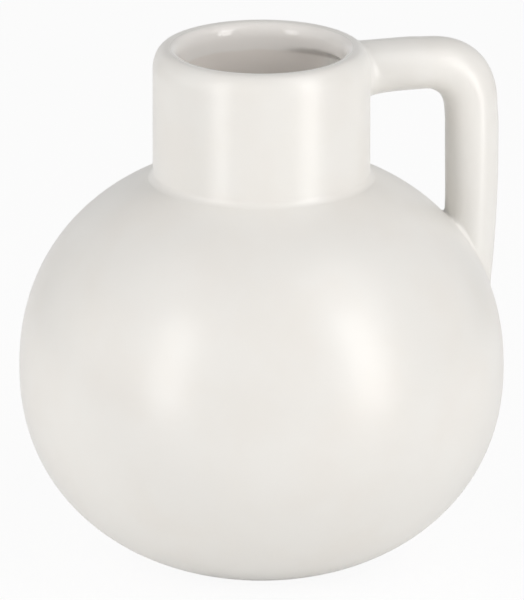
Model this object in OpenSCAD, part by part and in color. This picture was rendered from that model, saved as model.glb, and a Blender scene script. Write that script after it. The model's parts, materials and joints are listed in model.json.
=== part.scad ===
// Round jug vase: a hollow globe, a neck with a rounded lip and a handle of bent round bar.
// Its clay pieces are shaped alone and luted together with slip.
// Millimetres. The origin is the centre of the foot on the table, +Z is up, and the handle points along +X.

/* [Globe] */
// Diameter of the globe at its widest
globe_d = 150; // [125:1:190]
// Rise of the globe's curve from its widest plane to the closed crown
crown_h = 67.2; // [56:0.2:82]
// Fall of the globe's curve from its widest plane to the closed keel
keel_h = 64.9; // [54:0.1:80]
// Fullness of the globe's curve: 2 is an ellipse, and more is squarer
fullness = 2.16; // [2:0.01:2.5]
// Thickness of the globe's wall
wall = 6; // [5:0.5:8]

/* [Neck] */
// Outer diameter of the neck
neck_d = 67.2; // [60:0.2:81]
// Height of the neck from the crease at the shoulder to the rim
neck_h = 41.2; // [34:0.2:60]
// Diameter of the mouth's straight bore
mouth_d = 51; // [42:0.5:54]
// Height of the lip's rounding outside
lip_h = 7; // [4:0.5:10]
// Height of the lip's rounding inside
lip_in_h = 5.5; // [2:0.5:10]
// Squareness of the lip's rounding inside: 2 is an ellipse, and more is squarer
lip_in_square = 2.7; // [2:0.1:4]
// Depth of the neck's seat in the shoulder, below the crease
seat_depth = 2.4; // [1:0.2:3]

/* [Handle] */
// Diameter of the handle's bar
rod_d = 16.8; // [12:0.2:20.4]
// How far the handle's outer side stands out past the globe's widest circle
handle_overhang = 1; // [0:0.2:4]
// Distance from the rim down to the top of the bar
bar_below_rim = 0.8; // [0.6:0.1:6]
// Radius of the handle's bend, to the middle of the bar
bend_r = 14.1; // [11:0.1:18]
// Length of the straight upright between the bend and the lean
upright_h = 13.3; // [6:0.1:24]
// Radius of the upright's lean, to the middle of the bar
lean_r = 400; // [300:10:520]

/* [Foot and floor] */
// Outer diameter of the foot on the table
foot_d = 58; // [48:1:70]
// Width of the foot's standing face
foot_w = 5; // [3:0.5:7]
// Height of the foot ring
foot_h = 2.5; // [1.5:0.5:3.5]
// Thickness of the floor
floor_t = 5; // [4:0.5:8]
// Width of the floor's edge that rests on the foot ring
floor_seat = 4; // [2:0.5:5]

/* [Slip] */
// Reach of the slip fillet at the foot of the neck, along each face
neck_fillet = 2; // [1:0.1:4]
// Reach of the slip fillet round the handle's upper end
upper_fillet = 1.3; // [0.6:0.1:3]
// Reach of the slip fillet round the handle's lower end
lower_fillet = 1.8; // [0.8:0.1:3]
// Reach of the slip fillet over the floor and up the wall, inside the globe
floor_fillet = 3; // [2:0.5:5]
// Room for slip between pieces that fit into one another
fit_gap = 0.2; // [0.1:0.05:0.4]
// Gap that keeps a slip fillet's facets off the pieces that it joins
facet_gap = 0.05; // [0.02:0.01:0.1]

/* [Hidden] */

$fn = 96;
// Straight steps in a quarter of the globe's curve, in each half of the lip and in a fillet's hollow
curve_steps = 36;
lip_steps = 16;
fillet_steps = 8;
// Sections round a handle fillet, and halvings that place each one on the globe
ring_sections = 72;
halvings = 40;

white_glaze = [0.93, 0.92, 0.9];
bare_clay = [0.84, 0.79, 0.71];

globe_r = globe_d / 2;
neck_r = neck_d / 2;
mouth_r = mouth_d / 2;
rod_r = rod_d / 2;
foot_r = foot_d / 2;

// The globe's curve, (r / r_max)^fullness + (h / h_max)^fullness = 1, read either way
function curve_h(r, r_max, h_max) = h_max * pow(1 - pow(r / r_max, fullness), 1 / fullness);
function curve_r(h, r_max, h_max) = curve_h(h, h_max, r_max);

// Heights: the foot's outer edge and the neck's crease both lie on the globe's curve, to a hundredth
function to_hundredth(h) = round(h * 100) / 100;
belly_z = to_hundredth(curve_h(foot_r, globe_r, keel_h));
crease_z = belly_z + to_hundredth(curve_h(neck_r, globe_r, crown_h));
seat_z = crease_z - seat_depth;
rim_z = crease_z + neck_h;
lip_z = rim_z - lip_h;
floor_top_z = foot_h + floor_t;

// The lip's crest lies half way across the neck's wall
lip_mid_r = (neck_r + mouth_r) / 2;
lip_half_w = (neck_r - mouth_r) / 2;

// The inside of the globe, and the floor with the corner where it meets the wall
hollow_r = globe_r - wall;
hollow_keel_h = keel_h - wall;
foot_in_r = foot_r - foot_w;
floor_r = foot_in_r + floor_seat;
floor_hole_r = floor_r + fit_gap;
floor_groove_z = belly_z - curve_h(floor_hole_r, hollow_r, hollow_keel_h);
floor_corner_r = curve_r(belly_z - floor_top_z, hollow_r, hollow_keel_h);

// The middle line of the handle's bar: level, round the bend, upright, and leaning in to the widest plane
handle_reach = globe_r + handle_overhang - rod_r;
bar_z = rim_z - bar_below_rim - rod_r;
bend_x = handle_reach - bend_r;
bend_z = bar_z - bend_r;
lean_z = bend_z - upright_h;
lean_turn = asin((lean_z - belly_z) / lean_r);
lean_length = lean_r * lean_turn * PI / 180;
// Radius of a fillet's side towards the bar, whose flats stay clear of the round bar
fillet_rod_r = (rod_r + facet_gap) / cos(180 / ring_sections);

// Half an outline of the globe from the keel to the crown, drawn in by inset
function globe_points(inset) = [
    for (t = [-90 : 90 / curve_steps : 90])
        let (h_max = (t < 0 ? keel_h : crown_h) - inset)
        [(globe_r - inset) * pow(cos(t), 2 / fullness),
         belly_z + sign(t) * h_max * pow(abs(sin(t)), 2 / fullness)]
];

// The lip from the neck's outer face up to the crest, a quarter of an ellipse
function lip_outside() = [
    for (t = [0 : 90 / lip_steps : 90])
        [lip_mid_r + lip_half_w * cos(t), lip_z + lip_h * sin(t)]
];

// The lip from just past the crest down to the bore, a squarer quarter
function lip_inside() = [
    for (t = [90 / lip_steps : 90 / lip_steps : 90])
        [lip_mid_r - lip_half_w * pow(sin(t), 2 / lip_in_square),
         rim_z - lip_in_h * (1 - pow(cos(t), 2 / lip_in_square))]
];

// A hollow fillet from one foot to the other, tangent to the two faces that meet in the corner
function fillet_points(foot_a, corner, foot_b) = [
    for (i = [0 : fillet_steps])
        let (u = i / fillet_steps)
        (1 - u) * (1 - u) * foot_a + 2 * u * (1 - u) * corner + u * u * foot_b
];

module globe_outline(inset = 0) {
    polygon(globe_points(inset));
}

module globe_section() {
    difference() {
        globe_outline();
        globe_outline(wall);
        // Flat face on the foot ring, at any depth of the keel
        translate([0, -keel_h]) square([globe_r, keel_h + foot_h]);
        // Hole that the floor closes
        square([floor_hole_r, belly_z]);
        // Neck's seat, and the mouth under it
        translate([0, seat_z]) square([neck_r + fit_gap, rim_z - seat_z]);
        translate([0, belly_z]) square([mouth_r + fit_gap, rim_z - belly_z]);
    }
}

module floor_section() {
    translate([0, foot_h]) square([floor_r, floor_t]);
}

// The globe and the neck without their hollows, which the handle's ends are cut to
module globe_solid() {
    rotate_extrude() globe_outline();
}

module neck_solid() {
    rotate_extrude() polygon(concat([[0, rim_z], [0, seat_z], [neck_r, seat_z]], lip_outside()));
}

module globe_body() {
    color(white_glaze) rotate_extrude() globe_section();
}

module neck_collar() {
    color(white_glaze) rotate_extrude()
        polygon(concat([[mouth_r, seat_z], [neck_r, seat_z]], lip_outside(), lip_inside()));
}

// Round bar bent about an axis along Y, from +X towards +Z, or towards -Z where the turn is negative
module bent_bar(middle_r, turn) {
    rotate([90, 0, 0]) rotate_extrude(angle = turn) translate([middle_r, 0]) circle(rod_r);
}

module handle() {
    color(white_glaze) difference() {
        union() {
            translate([0, 0, bar_z]) rotate([0, 90, 0]) cylinder(h = bend_x, r = rod_r);
            translate([bend_x, 0, bend_z]) bent_bar(bend_r, 90);
            translate([handle_reach, 0, bend_z]) rotate([0, 180, 0]) cylinder(h = upright_h, r = rod_r);
            translate([handle_reach - lean_r, 0, lean_z]) bent_bar(lean_r, -lean_turn);
        }
        neck_solid();
        globe_solid();
    }
}

module neck_slip_fillet() {
    shoulder_r = neck_r + neck_fillet;
    shoulder = [shoulder_r, belly_z + curve_h(shoulder_r, globe_r, crown_h)];
    color(white_glaze) rotate_extrude() difference() {
        polygon(concat(
            [[neck_r, shoulder[1]]],
            fillet_points(shoulder, [neck_r, crease_z], [neck_r, crease_z + neck_fillet])));
        globe_outline();
    }
}

// Closed ring through sections of equal length
module slip_ring(sections) {
    n = len(sections);
    m = len(sections[0]);
    polyhedron(
        points = [for (section = sections) each section],
        faces = [
            for (i = [0 : n - 1], j = [0 : m - 1])
                let (a = i * m, b = (i + 1) % n * m, k = (j + 1) % m)
                each [[a + j, a + k, b + k], [a + j, b + k, b + j]]
        ]);
}

// Outer radius of the neck at height z, over the lip too
function neck_radius(z) =
    z < lip_z ? neck_r : lip_mid_r + lip_half_w * sqrt(1 - pow((z - lip_z) / lip_h, 2));

// Where a line along the bar, q from its middle, runs into the neck: turn 0 is the top of the bar
function neck_meet(q, turn) =
    let (y = q * sin(turn), z = bar_z + q * cos(turn))
    [sqrt(pow(neck_radius(z) + facet_gap, 2) - y * y), y, z];

// The fillet narrows over the top of the bar, to half of the room that the rim leaves
function upper_reach(turn) =
    cos(turn) <= 0 ? upper_fillet
                   : min(upper_fillet, ((rim_z - bar_z) / cos(turn) - fillet_rod_r) / 2);

function upper_section(turn) =
    let (corner = neck_meet(fillet_rod_r, turn),
         neck_foot = neck_meet(fillet_rod_r + upper_reach(turn), turn),
         rod_foot = corner + [norm(neck_foot - corner), 0, 0])
    concat([corner], fillet_points(neck_foot, corner, rod_foot));

module upper_handle_slip_fillet() {
    color(white_glaze)
        slip_ring([for (i = [0 : ring_sections - 1]) upper_section(i * 360 / ring_sections)]);
}

// A point at distance s past the start of the lean, q from the bar's middle: turn 0 is the outer side
function upright_point(s, q, turn) =
    s < 0 ? [handle_reach + q * cos(turn), q * sin(turn), lean_z - s]
          : let (a = s / lean_r * 180 / PI, r = lean_r + q * cos(turn))
            [handle_reach - lean_r + r * cos(a), q * sin(turn), lean_z - r * sin(a)];

function is_outside_globe(p) =
    let (h = p[2] - belly_z, h_max = (h < 0 ? keel_h : crown_h) + facet_gap)
    pow(norm([p[0], p[1]]) / (globe_r + facet_gap), fullness) + pow(abs(h) / h_max, fullness) > 1;

// Distance s at which a line along the upright runs into the globe, found by halving
function globe_meet(q, turn, low = -upright_h, high = lean_length, n = halvings) =
    let (mid = (low + high) / 2)
    n == 0 ? mid
           : is_outside_globe(upright_point(mid, q, turn)) ? globe_meet(q, turn, mid, high, n - 1)
                                                           : globe_meet(q, turn, low, mid, n - 1);

function lower_section(turn) =
    let (s = globe_meet(fillet_rod_r, turn),
         q = fillet_rod_r + lower_fillet,
         corner = upright_point(s, fillet_rod_r, turn),
         globe_foot = upright_point(globe_meet(q, turn), q, turn),
         rod_foot = upright_point(s - norm(globe_foot - corner), fillet_rod_r, turn))
    concat([corner], fillet_points(globe_foot, corner, rod_foot));

module lower_handle_slip_fillet() {
    color(white_glaze)
        slip_ring([for (i = [0 : ring_sections - 1]) lower_section(i * 360 / ring_sections)]);
}

module floor_disc() {
    color(white_glaze) rotate_extrude() floor_section();
}

module foot_ring() {
    color(bare_clay) rotate_extrude() intersection() {
        globe_outline();
        translate([foot_in_r, 0]) square([globe_r, foot_h]);
    }
}

module floor_slip_fillet() {
    floor_foot_r = min(floor_r, floor_corner_r) - floor_fillet;
    wall_foot_r = max(floor_r, floor_corner_r) + floor_fillet;
    wall_foot = [wall_foot_r, belly_z - curve_h(wall_foot_r, hollow_r, hollow_keel_h)];
    color(white_glaze) rotate_extrude() difference() {
        polygon(concat(
            [[floor_foot_r, floor_groove_z], [wall_foot_r, floor_groove_z]],
            fillet_points(wall_foot, [floor_corner_r, floor_top_z], [floor_foot_r, floor_top_z])));
        globe_section();
        floor_section();
    }
}

globe_body();
neck_collar();
handle();
neck_slip_fillet();
upper_handle_slip_fillet();
lower_handle_slip_fillet();
floor_disc();
foot_ring();
floor_slip_fillet();
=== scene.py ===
"""Round jug vase in satin white glaze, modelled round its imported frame.

Sizes are in metres, in the frame's axes: the origin is the centre of the foot on the table, Z is up
and the handle points along X. Each operator makes one clay piece, or one kind of piece, in place of
its node of the frame.
"""

import json
import math

import bpy
from bpy.props import FloatProperty, FloatVectorProperty, PointerProperty
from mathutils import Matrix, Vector


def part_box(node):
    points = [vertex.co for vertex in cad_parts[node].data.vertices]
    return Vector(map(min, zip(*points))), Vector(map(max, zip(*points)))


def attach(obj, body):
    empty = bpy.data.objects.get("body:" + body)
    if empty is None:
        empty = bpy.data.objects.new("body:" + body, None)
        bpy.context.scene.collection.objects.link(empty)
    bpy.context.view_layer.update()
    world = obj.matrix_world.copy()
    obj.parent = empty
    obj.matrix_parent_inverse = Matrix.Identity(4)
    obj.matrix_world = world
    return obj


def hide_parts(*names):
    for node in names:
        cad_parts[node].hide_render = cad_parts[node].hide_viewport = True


bl_info = {
    "name": "Round Jug Vase",
    "version": (1, 0, 0),
    "blender": (4, 5, 0),
    "location": "3D View > Sidebar > Vase",
    "description": "Models a round ceramic jug vase with its glaze, and a small photo stage",
    "category": "Add Mesh",
}

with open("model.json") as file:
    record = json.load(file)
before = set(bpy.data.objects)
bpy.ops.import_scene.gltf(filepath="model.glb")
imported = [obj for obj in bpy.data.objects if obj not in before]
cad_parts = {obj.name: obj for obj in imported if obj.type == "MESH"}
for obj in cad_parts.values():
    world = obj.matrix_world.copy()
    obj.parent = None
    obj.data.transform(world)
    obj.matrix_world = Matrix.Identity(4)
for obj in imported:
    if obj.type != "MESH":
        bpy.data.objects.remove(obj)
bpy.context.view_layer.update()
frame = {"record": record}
GLOBE_LOW, GLOBE_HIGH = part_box("globe_body")
NECK_LOW, NECK_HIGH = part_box("neck_collar")
HANDLE_LOW, HANDLE_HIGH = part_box("handle")
FLOOR_LOW, FLOOR_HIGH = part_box("floor_disc")
MOUTH = next(mount for mount in frame["record"]["mounts"] if mount["name"] == "mouth")

# Faces of a turned piece round the axis, of the handle round its bar, of the slip round the bar, and
# of the floor's edge
TURN_STEPS = 192
BAR_SIDES = 80
RING_STEPS = 96
FLOOR_SIDES = 96
# Points nearer to each other than this become one
MERGE = 1e-6
# Slip sinks this far into the faces that it joins, so that no hairline shows
SINK = 0.00002
# How far its hidden edge lies below those faces, and the floor below the foot
DEEP_SINK = SINK * 5
# Lengths of bar over which the pressed corner runs out, the slimming changes at the bend, and the
# foot's slimming sets in
CORNER_RUN = 0.006
SLIM_RUN = 0.02
FOOT_RUN = 0.025
# How sharply the fill in the bend ends: more keeps it even further out
FILL_POWER = 5
# Brings the swell of the lower fillet to about 1 at its widest
SWELL_SCALE = 1.7
# Halvings in the search for the point where the bar meets the globe
SEARCHES = 40

# Patterns in the glaze and the clay, in counts to the metre
CLOUD_SCALE = 45
WAVE_SCALE = 120
WIPE_SCALE = 160
GRAIN_SCALE = 900
SAND_SCALE = 1400
# Distances inside the lip's crest at which the inner glaze is full, and at which it ends
INNER_GLAZE = (0.0022, 0.0008)
# The glaze line's waves, and the heights round it between which the outer glaze fades
LINE_WAVE = 0.001
LINE_FADE = (-0.0006, 0.0005)
# The wiped glaze's waves above the foot, and the heights between which it starts
WIPE_WAVE = 0.0006
WIPE_FADE = (0.0007, 0.0009)
# The clouds' levels between which the glaze thins, how thin it gets, and how its roughness varies
CLOUD_FADE = (0.35, 0.75)
THIN_MOST = 0.35
ROUGH_SPREAD = 0.06
# The grain's levels between which the clay turns to its darker sand
SAND_FADE = (0.4, 0.7)
DARK_SAND = (0.58, 0.49, 0.38, 1)
CLAY_ROUGH = 0.85
# Relief of the glaze and the clay, and the grain's part in the glaze's
BUMP_DEPTH = 0.0002
GLAZE_BUMP = 0.12
CLAY_BUMP = 0.5
GRAIN_PART = 0.3

WHITE = (1, 1, 1)
WARM_WHITE = (1, 0.984, 0.972)
# Softboxes: name, turn from the camera and rise in degrees, distance, width and height in metres,
# watts, colour
LAMPS = (
    ("left_strip", -43.5, 10, 1.0, 0.30, 1.10, 4.6, WARM_WHITE),
    ("right_strip", 52, 10, 1.0, 0.34, 1.10, 6.1, WARM_WHITE),
    ("left_fill", -76, 14, 1.0, 0.8, 0.6, 1.74, WARM_WHITE),
    ("left_high", -70, 50, 1.0, 0.6, 0.6, 1.02, WARM_WHITE),
    ("right_high", 60, 50, 1.0, 0.6, 0.6, 2.1, WARM_WHITE),
    ("left_back", -120, 30, 1.0, 0.8, 0.8, 0.5, WHITE),
    ("right_back", 120, 30, 1.0, 0.8, 0.8, 0.65, WHITE),
    ("back_fill", 180, 35, 1.0, 1.6, 0.8, 1.0, WHITE),
    ("back_low", 180, 5, 1.2, 1.6, 0.6, 1.55, WHITE),
)
# Height that the lamps point at
LAMP_AIM = 0.07
# How far the picture's middle lies right of the globe's middle and above it
PICTURE_RIGHT = 0.00016
PICTURE_UP = 0.02004
# How much of the floor each kind of ray sees as plain white
FLOOR_WHITE = {"Is Camera Ray": 0.92, "Is Glossy Ray": 0.4, "Is Transmission Ray": 0.4}
FLOOR_ROUGH = 0.6
CAMERA_RANGE = 20


def length(name, description, default):
    """A size in metres that a user may change."""
    return FloatProperty(name=name, description=description, default=default, min=0, unit="LENGTH",
                         precision=4)


def colour(name, description, default):
    """A linear colour that a user may change."""
    return FloatVectorProperty(name=name, description=description, default=default, size=3,
                               min=0, max=1, subtype="COLOR")


def share(name, description, default):
    """A number from 0 to 1 that a user may change."""
    return FloatProperty(name=name, description=description, default=default, min=0, max=1,
                         subtype="FACTOR")


def angle(name, description, degrees):
    """An angle that a user may change."""
    return FloatProperty(name=name, description=description, default=math.radians(degrees),
                         subtype="ANGLE")


class GlobeSizes(bpy.types.PropertyGroup):
    """Sizes of the hollow globe"""

    radius: length("Radius", "Radius of the globe at its widest", GLOBE_HIGH.x)
    belly: length("Belly height", "Height of the widest circle above the table", 0.0609)
    crown: length("Crown rise", "Rise of the curve from the widest circle to the crown", 0.0672)
    keel: length("Keel fall", "Fall of the curve from the widest circle to the keel", 0.0649)
    fullness: FloatProperty(name="Fullness", default=2.16, min=2, max=3,
                            description="Exponent of the curve: 2 is an ellipse, more is squarer")
    wall: length("Wall", "Thickness of the globe's wall", 0.006)
    foot_face: length("Foot face", "Height of the flat face on the foot ring", GLOBE_LOW.z)
    fit_gap: length("Fit gap", "Room for slip between pieces that fit into one another", 0.0002)


class NeckSizes(bpy.types.PropertyGroup):
    """Sizes of the neck and its lip"""

    radius: length("Radius", "Outer radius of the neck", NECK_HIGH.x)
    seat: length("Seat height", "Height of the neck's lower end in the globe's seat", NECK_LOW.z)
    rim: length("Rim height", "Height of the rim above the table", NECK_HIGH.z)
    lip: length("Lip height", "Height of the lip's rounding outside", 0.007)
    mouth: length("Mouth radius", "Radius of the mouth at its narrowest",
                  MOUTH["dims"]["r_mm"] / 1000)
    lip_inside: length("Lip inside", "Height of the lip's rounding inside", 0.0055)
    lip_square: FloatProperty(name="Lip squareness", default=2.7, min=2, max=4,
                              description="Exponent of the rounding inside: 2 is an ellipse")
    sink_depth: length("Sink depth", "Depth of the drying sink behind the handle", 0.0045)
    sink_turn: angle("Sink turn", "How far round the neck the sink runs to each side", 65)
    sink_height: length("Sink height", "Rise of the sink over the middle of the bar", 0.0034)
    sink_fall: length("Sink fall", "How far the sink runs out below its middle", 0.03)
    glaze_line: length("Glaze line", "Depth below the rim where the outer glaze ends", 0.0083)


class HandleSizes(bpy.types.PropertyGroup):
    """Sizes of the bent bar"""

    bar: length("Bar radius", "Radius of the bar", (HANDLE_HIGH.y - HANDLE_LOW.y) / 2)
    reach: length("Reach", "Distance from the axis to the upright's outer side", HANDLE_HIGH.x)
    top: length("Top", "Height of the bar's upper side", HANDLE_HIGH.z)
    bend: length("Bend radius", "Radius of the bend, to the middle of the bar", 0.0141)
    upright: length("Upright", "Length of the straight upright above the lean", 0.0133)
    lean: length("Lean radius", "Radius of the upright's lean, to the middle of the bar", 0.4)
    corner_square: length("Corner square", "How far the bend's pressed corner stands out", 0.0004)
    bend_fill: length("Bend fill", "How much fuller the bend is on its inner side", 0.00065)
    fill_reach: length("Fill reach", "How far the fill runs to each side of its middle", 0.0113)
    fill_past: length("Fill past", "How far past the bend's middle the fill's middle lies", 0.0014)
    bar_slim: length("Bar slimming", "How much slimmer the level bar is on its inner side", 0.00035)
    upright_slim: length("Upright slimming", "How much slimmer the upright is inside", 0.0002)
    foot_slim: length("Foot slimming", "How much slimmer it is inside at its foot", 0.0008)


class FootSizes(bpy.types.PropertyGroup):
    """Sizes of the foot ring and the floor"""

    radius: length("Foot radius", "Outer radius of the foot on the table", 0.029)
    width: length("Foot width", "Width of the foot's standing face", 0.005)
    edge: length("Foot edge", "Rounding of the standing face's edges", 0.0006)
    floor_radius: length("Floor radius", "Radius of the floor disc", FLOOR_HIGH.x)
    floor_low: length("Floor underside", "Height of the floor's underside", FLOOR_LOW.z)
    floor_top: length("Floor top", "Height of the floor's upper face", FLOOR_HIGH.z)
    dish: length("Dish", "How far the floor's faces are dished in the middle", 0.0003)


class SlipSizes(bpy.types.PropertyGroup):
    """Reach of the slip fillets along the faces that they join"""

    neck: length("Neck fillet", "Reach of the fillet at the foot of the neck", 0.002)
    upper: length("Upper fillet", "Reach of the fillet round the handle's upper end", 0.0013)
    under: length("Upper fillet below", "Its reach down the neck, under the bar", 0.0018)
    under_along: length("Upper fillet along", "Its reach along the bar's underside", 0.014)
    lower: length("Lower fillet", "Reach of the fillet round the handle's lower end", 0.0018)
    lower_wide: length("Lower fillet widest", "Its reach beside the bar's inner side", 0.0034)
    floor: length("Floor fillet", "Reach of the fillet over the floor and up the wall", 0.003)


class GlazeColours(bpy.types.PropertyGroup):
    """Colours and gloss of the finishes"""

    white: colour("Glaze", "Colour of the white glaze", (0.835, 0.823, 0.792))
    thin: colour("Thin glaze", "Colour of the glaze in its thin clouds", (0.80, 0.766, 0.717))
    # Painted light: the glaze inside the lip is painted lighter than the outer glaze, standing in
    # for light in the mouth's shaded inside
    inside: colour("Inside glaze", "Colour of the glaze inside the lip", (0.89, 0.868, 0.838))
    liner: colour("Liner", "Colour of the liner below the glaze line", (0.85, 0.808, 0.765))
    clay: colour("Clay", "Colour of the bare clay under the foot", (0.66, 0.58, 0.47))
    satin: share("Satin roughness", "Roughness of the glaze outside", 0.3)
    gloss: share("Liner roughness", "Roughness of the glaze inside the mouth", 0.11)


class StageSettings(bpy.types.PropertyGroup):
    """Camera and light of the photo stage"""

    azimuth: angle("Azimuth", "Camera's turn round the vase", -16)
    elevation: angle("Elevation", "Camera's height over the horizon", 17.22)
    distance: length("Distance", "Camera's distance from the vase", 7.0)
    field: length("Field", "Height of the picture at the vase", 0.18583)
    floor: colour("Floor", "Colour of the floor", (0.92, 0.92, 0.915))
    floor_radius: length("Floor radius", "Radius of the round table top under the vase", 0.55)
    floor_set_back: length("Floor set back", "How far its middle lies behind the vase", 0.2)
    glow: share("Floor glow", "Light that the floor gives off", 0.025)
    ambient: colour("Ambient", "Light from all round", (0.183, 0.183, 0.183))


class VaseSettings(bpy.types.PropertyGroup):
    """All settings of the vase and its stage"""

    globe: PointerProperty(type=GlobeSizes)
    neck: PointerProperty(type=NeckSizes)
    handle: PointerProperty(type=HandleSizes)
    foot: PointerProperty(type=FootSizes)
    slip: PointerProperty(type=SlipSizes)
    glaze: PointerProperty(type=GlazeColours)
    stage: PointerProperty(type=StageSettings)


def steps(count):
    """Shares from 0 to 1 in equal steps."""
    return [i / count for i in range(count + 1)]


def ease(part):
    """A soft step from 0 to 1."""
    part = min(1, max(0, part))
    return part * part * (3 - 2 * part)


def globe_height(globe, out, inset=0, below=False):
    """Height of the globe's curve at a distance from the axis, drawn in by inset."""
    tall = (globe.keel if below else globe.crown) - inset
    rise = tall * (1 - (out / (globe.radius - inset)) ** globe.fullness) ** (1 / globe.fullness)
    return globe.belly - rise if below else globe.belly + rise


def globe_reach(globe, up, inset=0):
    """Distance of the globe's curve from the axis at a height, drawn in by inset."""
    tall = (globe.keel if up < globe.belly else globe.crown) - inset
    part = abs(up - globe.belly) / tall
    return (globe.radius - inset) * (1 - part ** globe.fullness) ** (1 / globe.fullness)


def globe_arc(globe, first, last, count, inset=0):
    """Points along the globe's curve from one point on it to another, drawn in by inset."""

    def turn_to(point):
        part = point[0] / (globe.radius - inset)
        turn = math.acos(min(1, part ** (globe.fullness / 2)))
        return math.copysign(turn, point[1] - globe.belly)

    start, end, power = turn_to(first), turn_to(last), 2 / globe.fullness
    points = []
    for part in steps(count):
        turn = start + (end - start) * part
        tall = (globe.keel if turn < 0 else globe.crown) - inset
        points.append(((globe.radius - inset) * math.cos(turn) ** power,
                       globe.belly + math.copysign(tall * abs(math.sin(turn)) ** power, turn)))
    return points


def oval(centre, wide, tall, first, last, count, square=2):
    """Points on an upright oval between two angles in degrees: 0 is out and 90 is up."""
    points = []
    for part in steps(count):
        turn = math.radians(first + (last - first) * part)
        along, up = math.cos(turn), math.sin(turn)
        points.append((centre[0] + math.copysign(wide * abs(along) ** (2 / square), along),
                       centre[1] + math.copysign(tall * abs(up) ** (2 / square), up)))
    return points


def fillet(first, corner, last, count=10):
    """Points of a hollow fillet, tangent at both ends to the faces that meet in the corner."""
    first, corner, last = Vector(first), Vector(corner), Vector(last)
    return [(1 - u) ** 2 * first + 2 * u * (1 - u) * corner + u ** 2 * last for u in steps(count)]


def lip_crest(neck):
    """Radius of the lip's crest, half way across the lip."""
    return (neck.radius + neck.mouth) / 2


def neck_reach(neck, up):
    """Outer radius of the neck at a height, over the lip's rounding too."""
    over = (up - neck.rim + neck.lip) / neck.lip
    if over <= 0:
        return neck.radius
    crest = lip_crest(neck)
    return crest + (neck.radius - crest) * math.sqrt(max(0, 1 - over ** 2))


def turned_piece(name, outline):
    """A piece turned round the axis from its outline of (out, up) points, as on a wheel."""
    bpy.ops.object.select_all(action="DESELECT")
    bpy.ops.mesh.primitive_plane_add(size=0.001)
    piece = bpy.context.object
    piece.name = piece.data.name = name
    bpy.ops.object.mode_set(mode="EDIT")
    bpy.ops.mesh.merge(type="CENTER")
    spots = [Vector((point[0], 0, point[1])) for point in outline]
    bpy.ops.transform.translate(value=spots[0])
    for here, there in zip(spots, spots[1:]):
        bpy.ops.mesh.extrude_vertices_move(TRANSFORM_OT_translate={"value": there - here})
    bpy.ops.mesh.select_all(action="SELECT")
    bpy.ops.mesh.remove_doubles(threshold=MERGE)
    bpy.ops.object.mode_set(mode="OBJECT")
    wheel = piece.modifiers.new("wheel", "SCREW")
    wheel.steps = wheel.render_steps = TURN_STEPS
    wheel.use_merge_vertices = True
    wheel.merge_threshold = MERGE
    bpy.ops.object.modifier_apply(modifier=wheel.name)
    close_up(piece)
    return piece


def close_up(piece):
    """Merges a piece's doubles and turns its faces outwards."""
    bpy.ops.object.mode_set(mode="EDIT")
    bpy.ops.mesh.select_all(action="SELECT")
    bpy.ops.mesh.remove_doubles(threshold=MERGE)
    bpy.ops.mesh.normals_make_consistent(inside=False)
    bpy.ops.object.mode_set(mode="OBJECT")


def smooth(piece, degrees=35):
    """Smooth shading, with crisp edges only where faces meet at more than the angle."""
    bpy.ops.object.select_all(action="DESELECT")
    piece.select_set(True)
    bpy.context.view_layer.objects.active = piece
    bpy.ops.object.shade_smooth_by_angle(angle=math.radians(degrees))


def hand_in(piece, node, slot, *materials):
    """Gives a finished piece its finish and puts it in place of its node of the frame."""
    for material in materials:
        piece.data.materials.append(material)
    smooth(piece)
    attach(piece, "root")
    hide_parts(node)


def cut_away(piece, tool):
    """Cuts a tool's shape out of a piece and removes the tool."""
    bpy.ops.object.select_all(action="DESELECT")
    piece.select_set(True)
    bpy.context.view_layer.objects.active = piece
    cut = piece.modifiers.new("cut", "BOOLEAN")
    cut.operation = "DIFFERENCE"
    cut.solver = "EXACT"
    cut.object = tool
    bpy.ops.object.modifier_apply(modifier=cut.name)
    bpy.data.objects.remove(tool)


def slip_ring(name, sections):
    """A closed ring of slip through sections of equal length."""
    bpy.ops.object.select_all(action="DESELECT")
    bpy.ops.mesh.primitive_torus_add(major_segments=len(sections), minor_segments=len(sections[0]))
    ring = bpy.context.object
    ring.name = ring.data.name = name
    spots = [spot for section in sections for spot in section]
    for vertex, spot in zip(ring.data.vertices, spots):
        vertex.co = spot
    close_up(ring)
    return ring


class Shade:
    """A socket of a node tree, so that shader maths reads as plain sums."""

    def __init__(self, tree, socket=None):
        self.tree = tree
        self.socket = socket

    def add(self, kind, settings, sockets, output=0):
        """Adds a node with its settings, then its sockets, and returns one of its outputs."""
        node = self.tree.nodes.new(kind)
        for name, value in settings.items():
            setattr(node, name, value)
        for name, value in sockets.items():
            if isinstance(value, Shade):
                self.tree.links.new(value.socket, node.inputs[name])
            else:
                node.inputs[name].default_value = value
        return Shade(self.tree, node.outputs[output] if node.outputs else None)

    def calc(self, operation, first, second):
        """Adds a Math node."""
        return self.add("ShaderNodeMath", {"operation": operation}, {0: first, 1: second})

    def __add__(self, other):
        return self.calc("ADD", self, other)

    def __radd__(self, other):
        return self.calc("ADD", other, self)

    def __sub__(self, other):
        return self.calc("SUBTRACT", self, other)

    def __rsub__(self, other):
        return self.calc("SUBTRACT", other, self)

    def __mul__(self, other):
        return self.calc("MULTIPLY", self, other)

    def __rmul__(self, other):
        return self.calc("MULTIPLY", other, self)

    def __pow__(self, other):
        return self.calc("POWER", self, other)

    def __rpow__(self, other):
        return self.calc("POWER", other, self)


def new_material(name):
    """A material with an empty tree, and the start of its shader maths."""
    material = bpy.data.materials.new(name)
    material.use_nodes = True
    material.node_tree.nodes.clear()
    return material, Shade(material.node_tree)


def finish_material(tree, surface):
    """Links a shader to the material's output."""
    tree.add("ShaderNodeOutputMaterial", {}, {"Surface": surface})


def between(tree, value, low, high):
    """0 below low, 1 above high and a smooth step between."""
    return tree.add("ShaderNodeMapRange", {"interpolation_type": "SMOOTHSTEP"},
                    {"Value": value, "From Min": low, "From Max": high})


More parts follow.
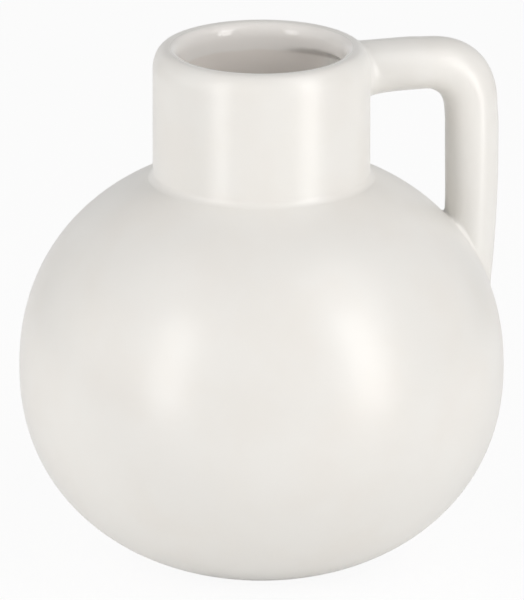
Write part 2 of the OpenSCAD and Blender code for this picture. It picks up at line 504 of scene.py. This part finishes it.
def noise(tree, place, scale, detail=2.0):
    """Soft noise from 0 to 1, with scale counts to the metre."""
    return tree.add("ShaderNodeTexNoise", {}, {"Vector": place, "Scale": scale, "Detail": detail})


def blend_colours(tree, factor, first, second):
    """One colour into another by a factor."""
    return tree.add("ShaderNodeMix", {"data_type": "RGBA"}, {0: factor, 6: first, 7: second}, 2)


def opaque(tint):
    """A colour with full alpha, as a colour socket takes it."""
    return (*tint, 1)


def ceramic_surface(tree, tint, rough, strength, height):
    """A surface of the given colour, roughness and relief, linked to the material's output."""
    relief = {"Strength": strength, "Distance": BUMP_DEPTH, "Height": height}
    bump = tree.add("ShaderNodeBump", {}, relief)
    looks = {"Base Color": tint, "Roughness": rough, "Normal": bump}
    finish_material(tree, tree.add("ShaderNodeBsdfPrincipled", {}, looks))


def glaze_finish(vase):
    """Satin white glaze outside, and a glossier liner glaze inside from the lip's crest down;
    between the crest and the glaze line its colour is painted lighter, as painted light.
    """
    known = bpy.data.materials.get("white_glaze_satin")
    if known:
        return known
    globe, neck, glaze = vase.globe, vase.neck, vase.glaze
    material, tree = new_material("white_glaze_satin")
    place = tree.add("ShaderNodeTexCoord", {}, {}, "Object")
    x, y, z = (tree.add("ShaderNodeSeparateXYZ", {}, {"Vector": place}, axis) for axis in "XYZ")
    out = (x * x + y * y) ** 0.5
    full, end = (lip_crest(neck) - inside for inside in INNER_GLAZE)
    # Mask of the mouth's inside, for its gloss and for its painted light
    in_mouth = (1 - between(tree, out, full, end)) * between(tree, z, globe.belly, neck.seat)
    cloud = noise(tree, place, CLOUD_SCALE)
    grain = noise(tree, place, GRAIN_SCALE)
    thinned = between(tree, cloud, *CLOUD_FADE) * THIN_MOST
    tint = blend_colours(tree, thinned, opaque(glaze.white), opaque(glaze.thin))
    line = neck.rim - neck.glaze_line + (noise(tree, place, WAVE_SCALE) - 0.5) * LINE_WAVE
    below_line = (1 - between(tree, z - line, *LINE_FADE)) * in_mouth
    # Painted light: inside the mouth, down to the glaze line, the colour is painted lighter than the
    # outer glaze
    tint = blend_colours(tree, in_mouth, tint, opaque(glaze.inside))
    tint = blend_colours(tree, below_line, tint, opaque(glaze.liner))
    rough = glaze.satin + (cloud - 0.5) * ROUGH_SPREAD
    rough = rough + in_mouth * (glaze.gloss - rough)
    ceramic_surface(tree, tint, rough, GLAZE_BUMP, grain * GRAIN_PART + cloud)
    return material


def clay_finish(vase):
    """Bare fired clay on the standing face, with the glaze wiped back to just above it."""
    glaze = vase.glaze
    material, tree = new_material("bare_clay_foot")
    place = tree.add("ShaderNodeTexCoord", {}, {}, "Object")
    z = tree.add("ShaderNodeSeparateXYZ", {}, {"Vector": place}, "Z")
    grain = noise(tree, place, SAND_SCALE, 4)
    edge = z + (noise(tree, place, WIPE_SCALE) - 0.5) * WIPE_WAVE
    glazed = between(tree, edge, *WIPE_FADE)
    sand = blend_colours(tree, between(tree, grain, *SAND_FADE), opaque(glaze.clay), DARK_SAND)
    tint = blend_colours(tree, glazed, sand, opaque(glaze.white))
    rough = CLAY_ROUGH + glazed * (glaze.satin - CLAY_ROUGH)
    ceramic_surface(tree, tint, rough, CLAY_BUMP, grain * (1 - glazed))
    return material


class JUGVASE_OT_globe(bpy.types.Operator):
    """Model the hollow globe with the neck's seat and the floor's hole"""

    bl_idname = "jug_vase.globe"
    bl_label = "Globe Body"

    def execute(self, context):
        vase = context.scene.jug_vase
        globe, neck, foot = vase.globe, vase.neck, vase.foot
        seat = neck.radius + globe.fit_gap
        mouth = neck.mouth + globe.fit_gap
        hole = foot.floor_radius + globe.fit_gap
        shoulder = (seat, globe_height(globe, seat))
        heel = (globe_reach(globe, globe.foot_face), globe.foot_face)
        groove = (hole, globe_height(globe, hole, globe.wall, below=True))
        throat = (mouth, globe_height(globe, mouth, globe.wall))
        outline = globe_arc(globe, shoulder, heel, 160)
        outline += [(hole, globe.foot_face)]
        outline += globe_arc(globe, groove, throat, 80, globe.wall)
        outline += [(mouth, neck.seat), (seat, neck.seat), shoulder]
        piece = turned_piece("globe_body_glazed", outline)
        hand_in(piece, "globe_body", "white_glaze", glaze_finish(vase))
        return {"FINISHED"}


class JUGVASE_OT_neck(bpy.types.Operator):
    """Model the straight neck with its thick rolled lip"""

    bl_idname = "jug_vase.neck"
    bl_label = "Neck Collar"

    def execute(self, context):
        vase = context.scene.jug_vase
        neck = vase.neck
        crest = lip_crest(neck)
        outside, inside = neck.rim - neck.lip, neck.rim - neck.lip_inside
        outline = [(neck.mouth, neck.seat), (neck.radius, neck.seat)]
        outline += [(neck.radius, neck.seat + (outside - neck.seat) * part)
                    for part in steps(24)[1:-1]]
        outline += oval((crest, outside), neck.radius - crest, neck.lip, 0, 90, 24)
        outline += oval((crest, inside), crest - neck.mouth, neck.lip_inside, 90, 180, 28,
                        neck.lip_square)[1:]
        outline += [(neck.mouth, inside + (neck.seat - inside) * part) for part in steps(80)[1:]]
        piece = turned_piece("neck_collar_glazed", outline)
        self.press_sink(piece, neck, vase.handle.top - vase.handle.bar)
        hand_in(piece, "neck_collar", "white_glaze", glaze_finish(vase))
        return {"FINISHED"}

    @staticmethod
    def press_sink(piece, neck, middle):
        """Draws the inner wall back behind the handle, as thick clay does when it dries."""
        for vertex in piece.data.vertices:
            spot = vertex.co
            out = math.hypot(spot.x, spot.y)
            if out > neck.mouth + SINK:
                continue
            turn = math.atan2(spot.y, spot.x) / neck.sink_turn
            rise = (spot.z - middle) / (neck.sink_height if spot.z > middle else neck.sink_fall)
            grow = 1 + neck.sink_depth * ease(1 - math.hypot(turn, rise)) / out
            spot.x, spot.y = spot.x * grow, spot.y * grow


def bend_centre(handle):
    """Centre of the handle's bend, in the handle's plane."""
    inward = handle.bar + handle.bend
    return handle.reach - inward, handle.top - inward


def hand_press(handle, spot):
    """Moves a point of the plain round bar to where a hand has pressed and drawn it."""
    centre_x, centre_z = bend_centre(handle)
    along, up = spot.x - centre_x, spot.z - centre_z
    sunk = max(0, -up - handle.upright)
    lean_in = sunk ** 2 / (2 * handle.lean)
    across, over = max(along + lean_in, 0), max(up, 0)
    side = (math.hypot(across, over) - handle.bend) / handle.bar
    turn = math.atan2(across, over)
    if side > 0:
        near = ease(1 + min(along, up, 0) / CORNER_RUN)
        push = -handle.corner_square * math.cos(4 * turn) * side * near
    else:
        # Distance along the bar from the middle of the bend
        path = handle.bend * (turn - math.pi / 4) + min(along, 0) - min(up, 0)
        slim = handle.bar_slim
        slim += (handle.upright_slim - handle.bar_slim) * ease(path / SLIM_RUN + 0.5)
        slim += (handle.foot_slim - handle.upright_slim) * ease(sunk / FOOT_RUN)
        past = abs((path - handle.fill_past) / handle.fill_reach)
        fill = handle.bend_fill * math.exp(-past ** FILL_POWER)
        push = (fill - slim) * side
    return spot + Vector((math.sin(turn), 0, math.cos(turn))) * push


class JUGVASE_OT_handle(bpy.types.Operator):
    """Model the handle of bent round bar, its ends cut to the neck and to the globe"""

    bl_idname = "jug_vase.handle"
    bl_label = "Handle"

    def execute(self, context):
        vase = context.scene.jug_vase
        globe, neck, handle = vase.globe, vase.neck, vase.handle
        centre_x, centre_z = bend_centre(handle)
        start = neck.mouth
        lean_start = centre_z - handle.upright
        lean_turn = math.asin((lean_start - globe.belly) / handle.lean)
        bpy.ops.object.select_all(action="DESELECT")
        bpy.ops.mesh.primitive_circle_add(vertices=BAR_SIDES, radius=handle.bar, fill_type="NGON",
                                          location=(start, 0, handle.top - handle.bar),
                                          rotation=(0, math.pi / 2, 0))
        bar = context.object
        bar.name = bar.data.name = "handle_glazed"
        bpy.ops.object.transform_apply(location=True, rotation=True, scale=True)
        bpy.ops.object.mode_set(mode="EDIT")
        bpy.ops.mesh.select_all(action="SELECT")
        self.draw_out(16, (centre_x - start, 0, 0))
        bpy.ops.mesh.spin(steps=40, angle=-math.pi / 2, center=(centre_x, 0, centre_z),
                          axis=(0, 1, 0))
        self.draw_out(8, (0, 0, -handle.upright))
        pivot = handle.reach - handle.bar - handle.lean
        bpy.ops.mesh.spin(steps=36, angle=-lean_turn, center=(pivot, 0, lean_start),
                          axis=(0, 1, 0))
        bpy.ops.object.mode_set(mode="OBJECT")
        for vertex in bar.data.vertices:
            vertex.co = hand_press(handle, vertex.co)
        close_up(bar)
        neck_end = [(0, neck.rim), (0, neck.seat), (neck.radius - SINK, neck.seat)]
        lip = [neck.rim - neck.lip * (1 - part) for part in steps(32)]
        neck_end += [(neck_reach(neck, up) - SINK, up) for up in lip]
        crown, keel = (0, globe.belly + globe.crown), (0, globe.belly - globe.keel)
        globe_end = globe_arc(globe, crown, keel, 160, SINK)
        for outline in (neck_end, globe_end):
            cut_away(bar, turned_piece("handle_end_cut", outline))
        hand_in(bar, "handle", "white_glaze", glaze_finish(vase))
        return {"FINISHED"}

    @staticmethod
    def draw_out(count, way):
        """Draws the selected end of the bar out straight, in equal steps."""
        step = [part / count for part in way]
        for _ in range(count):
            bpy.ops.mesh.extrude_region_move(TRANSFORM_OT_translate={"value": step})


class JUGVASE_OT_slip_fillets(bpy.types.Operator):
    """Model the slip that is wiped into the four joints of the vase"""

    bl_idname = "jug_vase.slip_fillets"
    bl_label = "Slip Fillets"

    def execute(self, context):
        vase = context.scene.jug_vase
        makers = {"neck_slip_fillet": self.neck_fillet,
                  "upper_handle_slip_fillet": self.upper_fillet,
                  "lower_handle_slip_fillet": self.lower_fillet,
                  "floor_slip_fillet": self.floor_fillet}
        for name, make in makers.items():
            piece = make(vase, name + "_glazed")
            hand_in(piece, name, "white_glaze", glaze_finish(vase))
        return {"FINISHED"}

    @staticmethod
    def neck_fillet(vase, name):
        """The ring of slip in the corner between the neck and the shoulder."""
        globe, neck = vase.globe, vase.neck
        crease = globe_height(globe, neck.radius)
        out = neck.radius + vase.slip.neck
        outline = [(neck.radius - SINK * 4, crease - SINK * 4)]
        outline += fillet((out, globe_height(globe, out) - SINK), (neck.radius, crease),
                          (neck.radius - SINK, crease + vase.slip.neck))
        return turned_piece(name, outline + outline[:1])

    @staticmethod
    def upper_fillet(vase, name):
        """The slip round the handle's upper end, drawn out along the bar's underside."""
        neck, handle, slip = vase.neck, vase.handle, vase.slip
        middle = handle.top - handle.bar

        def on_neck(away, turn, sink):
            side, up = away * math.sin(turn), middle + away * math.cos(turn)
            out = math.sqrt((neck_reach(neck, up) - sink) ** 2 - side ** 2)
            return hand_press(handle, Vector((out, side, up)))

        sections = []
        for part in steps(RING_STEPS)[:-1]:
            turn = 2 * math.pi * part
            below = (1 - math.cos(turn)) / 2
            room = slip.upper + (slip.under - slip.upper) * below
            if math.cos(turn) > 0:
                room = min(room, ((neck.rim - middle) / math.cos(turn) - handle.bar) / 2)
            corner = on_neck(handle.bar - SINK, turn, SINK)
            foot = on_neck(handle.bar + room, turn, SINK)
            along = (foot - corner).length + (slip.under_along - slip.under) * below ** 2
            hidden = on_neck(handle.bar - DEEP_SINK, turn, DEEP_SINK)
            sections.append([hidden] + fillet(foot, corner, corner + Vector((along, 0, 0))))
        return slip_ring(name, sections)

    @staticmethod
    def lower_fillet(vase, name):
        """The slip round the handle's lower end, wider beside the bar's inner side."""
        globe, handle, slip = vase.globe, vase.handle, vase.slip
        lean_start = bend_centre(handle)[1] - handle.upright
        pivot = handle.reach - handle.bar - handle.lean

        def on_bar(past, away, turn):
            """A point on the bar, past the start of its lean and away from its middle."""
            out, side = handle.lean + away * math.cos(turn), away * math.sin(turn)
            if past < 0:
                plain = Vector((pivot + out, side, lean_start - past))
            else:
                bow = past / handle.lean
                along, down = out * math.cos(bow), out * math.sin(bow)
                plain = Vector((pivot + along, side, lean_start - down))
            return hand_press(handle, plain)

        def meet(away, turn, sink):
            """How far past the start of its lean the bar meets the globe."""
            near, far = -handle.upright, lean_start - globe.belly
            for _ in range(SEARCHES):
                middle = (near + far) / 2
                spot = on_bar(middle, away, turn)
                wide = math.hypot(spot.x, spot.y) / (globe.radius - sink)
                tall = (globe.keel if spot.z < globe.belly else globe.crown) - sink
                high = abs(spot.z - globe.belly) / tall
                outside = wide ** globe.fullness + high ** globe.fullness > 1
                near, far = (middle, far) if outside else (near, middle)
            return (near + far) / 2

        sections = []
        for part in steps(RING_STEPS)[:-1]:
            turn = 2 * math.pi * part
            past = meet(handle.bar - SINK, turn, SINK)
            corner = on_bar(past, handle.bar - SINK, turn)
            swell = 0
            if math.cos(turn) < 0:
                swell = SWELL_SCALE * (math.sin(turn) * math.sin(2 * turn)) ** 2
            away = handle.bar + slip.lower + (slip.lower_wide - slip.lower) * swell
            foot = on_bar(meet(away, turn, SINK), away, turn)
            up_bar = on_bar(past - (foot - corner).length, handle.bar - SINK, turn)
            under = handle.bar - DEEP_SINK
            hidden = on_bar(meet(under, turn, DEEP_SINK), under, turn)
            sections.append([hidden] + fillet(foot, corner, up_bar))
        return slip_ring(name, sections)

    @staticmethod
    def floor_fillet(vase, name):
        """The coil of slip in the corner between the floor and the wall, inside."""
        globe, foot = vase.globe, vase.foot
        hole = foot.floor_radius + globe.fit_gap
        corner = globe_reach(globe, foot.floor_top, globe.wall)
        inner = min(foot.floor_radius, corner) - vase.slip.floor
        outer = max(foot.floor_radius, corner) + vase.slip.floor
        wall = [(out, globe_height(globe, out, globe.wall, below=True) - SINK)
                for out in (outer + (hole - outer) * part for part in steps(12))]
        low = foot.floor_top - SINK
        outline = [(inner, low), (foot.floor_radius, low), (foot.floor_radius, wall[-1][1])]
        outline += wall[::-1]
        outline += fillet(wall[0], (corner, foot.floor_top), (inner, low))[1:]
        return turned_piece(name, outline)


class JUGVASE_OT_floor(bpy.types.Operator):
    """Model the floor disc that closes the globe"""

    bl_idname = "jug_vase.floor"
    bl_label = "Floor Disc"

    def execute(self, context):
        vase = context.scene.jug_vase
        foot = vase.foot
        edge = foot.floor_radius - foot.width
        dished = [(edge * part, foot.dish * (1 - part ** 2)) for part in steps(16)]
        outline = [(out, foot.floor_low + deep) for out, deep in dished]
        outline += [(foot.floor_radius, foot.floor_low), (foot.floor_radius, foot.floor_top)]
        outline += [(out, foot.floor_top - deep) for out, deep in reversed(dished)]
        piece = turned_piece("floor_disc_glazed", outline)
        hand_in(piece, "floor_disc", "white_glaze", glaze_finish(vase))
        return {"FINISHED"}


class JUGVASE_OT_foot(bpy.types.Operator):
    """Model the foot ring with its bare standing face"""

    bl_idname = "jug_vase.foot"
    bl_label = "Foot Ring"

    def execute(self, context):
        vase = context.scene.jug_vase
        globe, foot = vase.globe, vase.foot
        inside = foot.radius - foot.width
        edge = foot.edge
        outline = [(inside, globe.foot_face)]
        outline += oval((inside + edge, edge), edge, edge, 180, 270, 8)
        outline += [(inside + edge + (foot.width - 2 * edge) * part, 0) for part in steps(6)[1:-1]]
        outline += oval((foot.radius - edge, edge), edge, edge, 270, 330, 6)
        start_out, start_up = outline[-1]
        flare = [start_up + (globe.foot_face - start_up) * part for part in steps(8)[1:]]
        outline += [(max(start_out, globe_reach(globe, up)), up) for up in flare]
        outline += [outline[0]]
        piece = turned_piece("foot_ring_clay", outline)
        hand_in(piece, "foot_ring", "bare_clay", clay_finish(vase))
        return {"FINISHED"}


def direction(turn, rise):
    """The way from the vase to where something stands, by its turn round the vase and its rise."""
    level = math.cos(rise)
    return Vector((math.sin(turn) * level, -math.cos(turn) * level, math.sin(rise)))


def camera_axes(stage):
    """The camera's back, right and up directions."""
    back = direction(stage.azimuth, stage.elevation)
    right = Vector((math.cos(stage.azimuth), math.sin(stage.azimuth), 0))
    return back, right, back.cross(right)


class JUGVASE_OT_stage(bpy.types.Operator):
    """Set up the floor, the soft lights, the world and the camera"""

    bl_idname = "jug_vase.stage"
    bl_label = "Photo Stage"

    def execute(self, context):
        vase = context.scene.jug_vase
        stage = vase.stage
        self.floor(stage)
        self.world(stage)
        for lamp in LAMPS:
            self.softbox(stage, *lamp)
        self.camera(context, vase)
        context.scene.view_settings.view_transform = "Standard"
        return {"FINISHED"}

    @staticmethod
    def floor(stage):
        """A round pale table top, white to the camera but for the vase's shadow."""
        bpy.ops.object.select_all(action="DESELECT")
        back = camera_axes(stage)[0]
        away = Vector((back.x, back.y, 0)) * -stage.floor_set_back
        away.z = -DEEP_SINK
        bpy.ops.mesh.primitive_circle_add(vertices=FLOOR_SIDES, radius=stage.floor_radius,
                                          fill_type="NGON", location=away)
        bpy.ops.object.transform_apply(location=True)
        floor = bpy.context.object
        floor.name = floor.data.name = "pale_floor"
        material, tree = new_material("pale_floor")
        seen = sum(tree.add("ShaderNodeLightPath", {}, {}, ray) * part
                   for ray, part in FLOOR_WHITE.items())
        matt = tree.add("ShaderNodeBsdfPrincipled", {},
                        {"Base Color": opaque(stage.floor), "Roughness": FLOOR_ROUGH})
        glow = tree.add("ShaderNodeEmission", {}, {"Color": opaque(WHITE), "Strength": stage.glow})
        lit = tree.add("ShaderNodeAddShader", {}, {0: matt, 1: glow})
        white = tree.add("ShaderNodeEmission", {}, {"Color": opaque(WHITE), "Strength": 1.0})
        finish_material(tree, tree.add("ShaderNodeMixShader", {}, {0: seen, 1: lit, 2: white}))
        floor.data.materials.append(material)

    @staticmethod
    def world(stage):
        """Soft light from all round, and plain white behind the vase."""
        world = bpy.data.worlds.new("studio")
        bpy.context.scene.world = world
        world.use_nodes = True
        world.node_tree.nodes.clear()
        tree = Shade(world.node_tree)
        # Only the camera sees the white: in glossy rays it would wash out the edges of the glaze
        seen = tree.add("ShaderNodeLightPath", {}, {}, "Is Camera Ray")
        room, white = (tree.add("ShaderNodeBackground", {}, {"Color": opaque(tint), "Strength": 1})
                       for tint in (stage.ambient, WHITE))
        mixed = tree.add("ShaderNodeMixShader", {}, {0: seen, 1: room, 2: white})
        tree.add("ShaderNodeOutputWorld", {}, {"Surface": mixed})

    @staticmethod
    def softbox(stage, name, turn, rise, distance, width, height, watts, tint):
        """A soft lamp that points at the vase."""
        away = direction(stage.azimuth + math.radians(turn), math.radians(rise))
        aim = Vector((0, 0, LAMP_AIM))
        bpy.ops.object.light_add(type="AREA", location=aim + away * distance)
        lamp = bpy.context.object
        lamp.name = lamp.data.name = name
        lamp.rotation_euler = away.to_track_quat("Z", "Y").to_euler()
        lamp.data.shape = "RECTANGLE"
        lamp.data.size, lamp.data.size_y = width, height
        lamp.data.energy = watts
        lamp.data.color = tint

    @staticmethod
    def camera(context, vase):
        """The camera at the photo's angle, with the photo's framing."""
        stage = vase.stage
        back, right, up = camera_axes(stage)
        aim = Vector((0, 0, vase.globe.belly)) + right * PICTURE_RIGHT + up * PICTURE_UP
        bpy.ops.object.camera_add(location=aim + back * stage.distance)
        camera = bpy.context.object
        camera.rotation_euler = back.to_track_quat("Z", "Y").to_euler()
        camera.data.lens = camera.data.sensor_width * stage.distance / stage.field
        camera.data.clip_end = CAMERA_RANGE
        context.scene.camera = camera


class JUGVASE_PT_pieces(bpy.types.Panel):
    """Buttons for the vase's pieces, with their sizes and finishes"""

    bl_idname = "JUGVASE_PT_pieces"
    bl_label = "Round Jug Vase"
    bl_space_type = "VIEW_3D"
    bl_region_type = "UI"
    bl_category = "Vase"

    def draw(self, context):
        vase = context.scene.jug_vase
        for operator in OPERATORS:
            self.layout.operator(operator.bl_idname)
        groups = (vase.globe, vase.neck, vase.handle, vase.foot, vase.slip, vase.glaze, vase.stage)
        for group in groups:
            box = self.layout.box()
            for name in group.__annotations__:
                box.prop(group, name)


GROUPS = (GlobeSizes, NeckSizes, HandleSizes, FootSizes, SlipSizes, GlazeColours, StageSettings,
          VaseSettings)
OPERATORS = (JUGVASE_OT_globe, JUGVASE_OT_neck, JUGVASE_OT_handle, JUGVASE_OT_slip_fillets,
             JUGVASE_OT_floor, JUGVASE_OT_foot, JUGVASE_OT_stage)


def register():
    """Registers the settings, the operators and the panel."""
    for made in (*GROUPS, *OPERATORS, JUGVASE_PT_pieces):
        bpy.utils.register_class(made)
    bpy.types.Scene.jug_vase = PointerProperty(type=VaseSettings)


def unregister():
    """Takes them back out."""
    del bpy.types.Scene.jug_vase
    for made in (JUGVASE_PT_pieces, *reversed(OPERATORS), *reversed(GROUPS)):
        bpy.utils.unregister_class(made)


def main():
    """Models the vase and its stage."""
    register()
    bpy.ops.jug_vase.globe()
    bpy.ops.jug_vase.neck()
    bpy.ops.jug_vase.handle()
    bpy.ops.jug_vase.slip_fillets()
    bpy.ops.jug_vase.floor()
    bpy.ops.jug_vase.foot()
    bpy.ops.jug_vase.stage()


if __name__ == "__main__":
    main()
